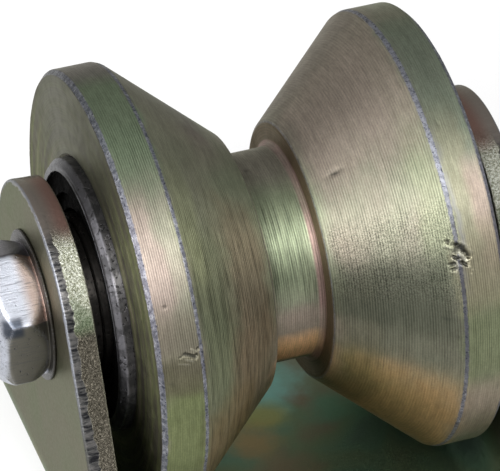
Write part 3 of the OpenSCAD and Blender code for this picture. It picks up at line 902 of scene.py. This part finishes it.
def bracket():
    shape = Shape()
    axle_hole = BOLT_R + HOLE_GAP
    # Both faces of the plate, each in quarters of the base, bends and cheeks
    for t, inset in ((0.0, OUTER_INSET), (PLATE_T, INNER_INSET)):
        flat = annulus(base_loop(inset), FIXING_R + HOLE_ROUND, 9)
        upright = annulus(cheek_loop(inset), axle_hole + HOLE_ROUND, 12)
        for side in (LEFT, RIGHT):
            for end in (-1, 1):
                shape.sheet(on_base(side, end, flat, t))
            shape.sheet(on_bend(side, BEND[:, None], t, ACROSS[None], inset),
                        around=False)
            shape.sheet(on_cheek(side, upright, t))
    # Walls of the holes
    fixing = hole_rings(base_loop(OUTER_INSET), base_loop(INNER_INSET), FIXING_R)
    axle = hole_rings(cheek_loop(OUTER_INSET), cheek_loop(INNER_INSET), axle_hole)
    for side in (LEFT, RIGHT):
        for end in (-1, 1):
            shape.sheet([on_base(side, end, ring, t) for t, ring in fixing])
        shape.sheet([on_cheek(side, ring, t) for t, ring in axle])
    # The sheared edge, from the base's ends over the bends and round each cheek
    marks = {"depth": np.array([t for t, _ in EDGE_ROWS])[:, None], "sheared": 1.0,
             "around": False}
    base_x = np.linspace(0, 1, 25) * BEND_CENTRE
    over_bend = BEND_CENTRE + BEND * BEND_OUT
    outlines = [cheek_loop(inset)[FOOT_COUNT:] for _, inset in EDGE_ROWS]
    steps = np.linalg.norm(np.diff(outlines[-1], axis=0), axis=1)
    round_cheek = 60 + np.concatenate([[0], np.cumsum(steps)])
    for side in (LEFT, RIGHT):
        for end in (-1, 1):
            shape.sheet([np.stack(np.broadcast_arrays(
                side * base_x, end * (BASE_HALF - inset), t), -1)
                for t, inset in EDGE_ROWS], **marks, run=base_x[None])
            shape.sheet([on_bend(side, BEND, t, end, inset) for t, inset in EDGE_ROWS],
                        **marks, run=over_bend[None])
        shape.sheet([on_cheek(side, outline, t)
                     for outline, (t, _) in zip(outlines, EDGE_ROWS)],
                    **marks, run=round_cheek[None])
    shape.build("bracket_plate", "bracket_assembly", "bracket_zinc", "bracket")


# ---- Bolt, nut and washers ----


def hex_grid(start, length, turn, chamfers):
    """A hexagon along X with rounded edges, turned off round both of its ends.

    chamfers holds, for the low and the high end, the radius left there and how fast
    the radius grows away from it. Returns the points, how near an edge they are,
    their radii and their angles.
    """
    part = np.linspace(-1, 1, 25)
    part = np.sign(part) * (1 - (1 - np.abs(part)) ** 1.7)
    angle = np.concatenate([turn + 60 * k + 30 * part[:-1] for k in range(6)])
    a = np.radians(angle - turn)
    flats = np.array([np.cos(a - radians(60 * k)) for k in range(6)])
    flats = HEX_AF / 2 / np.maximum(flats, 0.05)
    x = np.concatenate([[0, 0.04], np.linspace(0.12, length - 0.12, 46),
                        [length - 0.04, length]])
    limits = [np.broadcast_to(f, (len(x), len(a))) for f in flats]
    for end, (face, grow) in zip((x, length - x), chamfers):
        limits.append(np.broadcast_to((face + end * grow)[:, None], (len(x), len(a))))
    limits = np.sort(np.array(limits), axis=0)
    soft = 60.0
    r = (limits ** -soft).sum(0) ** (-1 / soft)
    edge = np.clip(1 - (limits[1] - limits[0]) / 0.22, 0, 1)
    return round_axle(start + x[:, None], r, angle[None]), edge, r, angle


def cap(shape, x, r, angle, bulge):
    """Closes an end from its rim to the middle."""
    t = np.array([0.0, 0.02, 0.06, 0.15, 0.35, 0.6, 0.8, 1.0])[:, None]
    shape.sheet(round_axle(x + bulge * (1 - (1 - t) ** 2), r - r * t, angle[None]))


def turned_rows(shape, rows, angle):
    """Adds rings round the axle, each given as (x, radius)."""
    shape.sheet([round_axle(x, np.broadcast_to(r, angle.shape), angle)
                 for x, r in rows])


def bolt():
    shape = Shape()
    seat = -OUTER_HALF
    foot = (HEAD_FOOT, (HEX_R - HEAD_FOOT) / HEAD_TAPER)
    points, edge, r, angle = hex_grid(seat - HEAD_H, HEAD_H - FLANGE_T, HEAD_TURN,
                                      (HEAD_END, foot))
    shape.sheet(points, edge=edge)
    cap(shape, seat - HEAD_H, r[0], angle, 0.25)
    # The round foot under the head, a little out of centre
    under, inner = seat - FLANGE_T, r[-1]
    rim = FLANGE_R - 0.5 + 0.45 * np.cos(np.radians(angle - 110))
    turned_rows(shape, (
        (under, inner), (under, inner + 0.05),
        (under, np.maximum(rim - 0.25, inner + 0.08)),
        (under + 0.06, np.maximum(rim - 0.06, inner + 0.1)),
        (under + 0.2, rim), (seat, rim), (seat, BOLT_R)), angle)
    # Plain shank, then the thread from inside the nut to the chamfered point
    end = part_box("axle_bolt")[1].x / MM
    start = OUTER_HALF + 1.0
    turn = np.linspace(0, 360, 144, endpoint=False)
    x = np.concatenate([[seat, seat + 0.3, start - 0.3],
                        np.arange(start, end, 0.105), [end]])[:, None]
    flank = np.abs(2 * ((x / PITCH - turn[None] / 360) % 1.0) - 1)
    thread = BOLT_R - 0.03 - 0.61 * PITCH * np.clip((flank - 0.13) / 0.62, 0, 1)
    blend = np.clip((x - start) / 1.5, 0, 1)
    radius = BOLT_R + (thread - BOLT_R) * blend
    point = BOLT_R - POINT + np.maximum(end - x, 0)
    radius = (radius ** -40 + point ** -40) ** (-1 / 40)
    crest = np.where(blend > 0.5, np.clip((radius - BOLT_R + 0.45) / 0.4, 0, 1), 0)
    shape.sheet(round_axle(x, radius, turn[None]), edge=crest * 0.6)
    cap(shape, end, radius[-1], turn, -0.15)
    shape.build("hex_bolt", "bracket_assembly", "bolt_zinc", "axle_bolt")


def nut():
    shape = Shape()
    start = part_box("axle_nut")[0].x / MM
    points, edge, r, angle = hex_grid(start, NUT_H, NUT_TURN, (NUT_END, NUT_END))
    shape.sheet(points, edge=edge)
    mouth, bore = BOLT_R + 0.55, BOLT_R + 0.02
    for x, inwards, rim in ((start, 1, r[0]), (start + NUT_H, -1, r[-1])):
        turned_rows(shape, (
            (x, rim), (x, rim - 0.15), (x, mouth + 0.15), (x, mouth),
            (x + inwards * 0.08, mouth - 0.08), (x + inwards * 0.55, bore)), angle)
    turned_rows(shape, ((start + 0.55, bore), (start + NUT_H / 2, bore),
                        (start + NUT_H - 0.55, bore)), angle)
    shape.build("hex_nut", "bracket_assembly", "nut_zinc", "axle_nut")


def washers():
    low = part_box("flat_washer")[0].x / MM
    high = low + WASHER_T
    inner = BOLT_R + HOLE_GAP
    lathe("plain_washer", "bracket_assembly", "nut_zinc", "flat_washer", [
        (low, inner, 0.2, 0.3), (low, WASHER_R, 0.3, 0.6),
        (high, WASHER_R, 0.55, 0.8), (high, inner, 0.2, 0.3)])
    # The spring washer: a slanting slot parts it, and its wire is rounded
    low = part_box("spring_washer")[0].x / MM
    high = low + SPRING_T
    inner = BOLT_R + SPRING_GAP
    outer = inner + SPRING_W
    points, marks, _ = rounded([
        (low, inner, 0.3, 0.4, 0.8), (low, outer, 0.35, 0.7, 0.8),
        (high, outer, 0.35, 0.7, 0.8), (high, inner, 0.3, 0.4, 0.8)])
    half_slot = degrees(SPRING_SLOT / 2 / (inner + SPRING_W / 2))
    x, r = points[:, :1], points[:, 1:]
    slant = np.degrees(tan(radians(20)) * (x - (low + high) / 2) / r)
    turn = np.linspace(half_slot, 360 - half_slot, 120)
    grid = round_axle(x, r, turn[None] - slant)
    shape = Shape()
    shape.sheet(grid, around=False, along=True, edge=marks[:, None])
    for face in (grid[:, 0], grid[:, -1]):
        centre = face.mean(0)
        shape.sheet([centre + (face - centre) * s for s in (1.0, 0.97, 0.6, 0.0)])
    shape.build("split_washer", "bracket_assembly", "nut_zinc", "spring_washer")


# ---- Bearings ----


def bearings():
    mid, half = BEARING_END - BEARING_W / 2, BEARING_W / 2
    low, high = mid - half, mid + half
    out_r = RING_R - 0.02
    race_r = RACE_FIT * BALL_D
    centre = RACE_TOP - race_r
    reach = acos((SHOULDER_R - centre) / race_r)
    race = [(mid + race_r * sin(b), centre + race_r * cos(b), 0, 0, 0.8)
            for b in np.linspace(reach, -reach, 13)[::-1]]
    ring = [
        (low, out_r - 0.6, 0.25, 0.3), (low, RECESS_R, 0.1),
        (low + RECESS_W, RECESS_R, 0), (low + RECESS_W, SHOULDER_R, 0.1),
        *race,
        (high - RECESS_W, SHOULDER_R, 0.1), (high - RECESS_W, RECESS_R, 0),
        (high, RECESS_R, 0.12, 0.2), (high, out_r - 0.85, 0.5),
        (high - 0.85, out_r, 0.5, 0, 3.0), (low + 0.6, out_r, 0.25, 0.3)]
    # The shield: a flat band by the recess, and a sunk one by the inner ring
    rim, t = RECESS_R - 0.02, SHIELD_T
    face, sunk = high - SHIELD_SINK, high - 2 * SHIELD_SINK
    inside, outside = SHIELD_STEP_R + 0.2, SHIELD_STEP_R - 0.2
    shield = [
        (sunk - t, SHIELD_BORE_R, 0.1), (sunk - t, inside, 0.12),
        (face - t, inside, 0.12), (face - t, rim - t, 0.1),
        (high - RECESS_W, rim - t, 0.05), (high - RECESS_W, rim, 0.05),
        (face - t / 2, rim, 0.2, 0.2), (face, rim - t / 2, 0.2, 0.2),
        (face, outside, 0.25, 0.5), (sunk, outside, 0.2),
        (sunk, SHIELD_BORE_R, 0.15, 0.3)]
    for side, word in ((LEFT, "left"), (RIGHT, "right")):
        lathe(f"bearing_{word}_outer_race", "wheel", "bearing_steel",
              f"outer_ring_{word}", ring, side, 180)
        lathe(f"bearing_{word}_shield", "wheel", "sheet_steel",
              f"shield_{word}_outer", shield, side, 180)


def dress(finish, *names):
    """Gives CAD nodes on both sides, whose shape is right, their material."""
    for name in names:
        for side in ("left", "right"):
            node = frame["nodes"][name.format(side)]
            if not node.material_slots:
                node.data.materials.append(FINISHES[finish])
            for slot in node.material_slots:
                slot.material = FINISHES[finish]


wheel()
bracket()
bolt()
nut()
washers()
bearings()
dress("oiled_steel", "inner_ring_{}", "side_spacer_{}")
dress("ball_steel", "balls_{}")
dress("sheet_steel", "shield_{}_inner", "cage_{}_outer_half", "cage_{}_inner_half",
      "cage_{}_rivets")
dress("turned_steel", "axle_sleeve", "bearing_spacer")

# ---- Floor, light and camera ----


def floor():
    mesh = bpy.data.meshes.new("floor")
    turn = np.linspace(0, 2 * pi, 64, endpoint=False)
    mesh.from_pydata([(40 * cos(a), 40 * sin(a), -0.0002) for a in turn],
                     [], [list(range(64))])
    material = bpy.data.materials.new("floor_white")
    n = Nodes(material)
    ray = n.node("ShaderNodeLightPath").outputs
    kinds = ("Is Camera Ray", "Is Glossy Ray", "Is Transmission Ray")
    seen = n.most(*(ray[kind] for kind in kinds))
    paint = n.node("ShaderNodeBsdfPrincipled", {
        "Base Color": grey(0.33), "Roughness": 0.9, "Specular IOR Level": 0.0,
        "Emission Color": grey(1.0), "Emission Strength": n.times(seen, 0.6)})
    n.node("ShaderNodeOutputMaterial", {"Surface": paint.outputs[0]})
    mesh.materials.append(material)
    place("floor", mesh)


def softbox(name, sideways, upwards, distance, size, level):
    """An even area light: its angle sideways to +X and upwards from the front, and
    its size in the plane of the axle and across it."""
    s, u = radians(sideways), radians(upwards)
    out = Vector((sin(s), -cos(s) * cos(u), cos(s) * sin(u)))
    across = Vector((cos(s), sin(s) * cos(u), -sin(s) * sin(u)))
    light = bpy.data.lights.new(name, "AREA")
    light.shape = "RECTANGLE"
    light.size, light.size_y = size
    light.energy = level * pi * size[0] * size[1]
    turn = Matrix((across, out.cross(across), out)).transposed().to_4x4()
    at = Vector((0, 0, AXLE_Z * MM)) + out * distance
    place(name, light).matrix_world = Matrix.Translation(at) @ turn


def world():
    """An even light from all round, a little stronger from above."""
    made = bpy.data.worlds.new("studio")
    n = Nodes(made)
    up = n.split(n.node("ShaderNodeTexCoord").outputs["Generated"])[2]
    strength = n.band(up, 0.02, 0.3, 0.42, 0.52)
    back = n.node("ShaderNodeBackground", {"Strength": strength})
    n.node("ShaderNodeOutputWorld", {"Surface": back.outputs[0]})
    bpy.context.scene.world = made


def camera():
    at = Vector((-154.56, -465.29, 408.91)) * MM
    aim = Vector((-1.08, 2.22, 41.2)) * MM
    roll = Matrix.Rotation(radians(-1.168), 3, "Z")
    data = bpy.data.cameras.new("camera")
    data.sensor_width = 36.0
    data.lens = 305.8
    data.clip_start, data.clip_end = 0.05, 100.0
    facing = (aim - at).to_track_quat("-Z", "Y").to_matrix()
    made = place("camera", data)
    made.matrix_world = Matrix.Translation(at) @ (facing @ roll).to_4x4()
    bpy.context.scene.camera = made


floor()
softbox("key", -27, 49, 1.0, (1.4, 0.48), 9.5)
softbox("high", -50, 104, 1.2, (0.8, 0.6), 2.4)
world()
camera()
bpy.context.scene.view_settings.view_transform = "Standard"
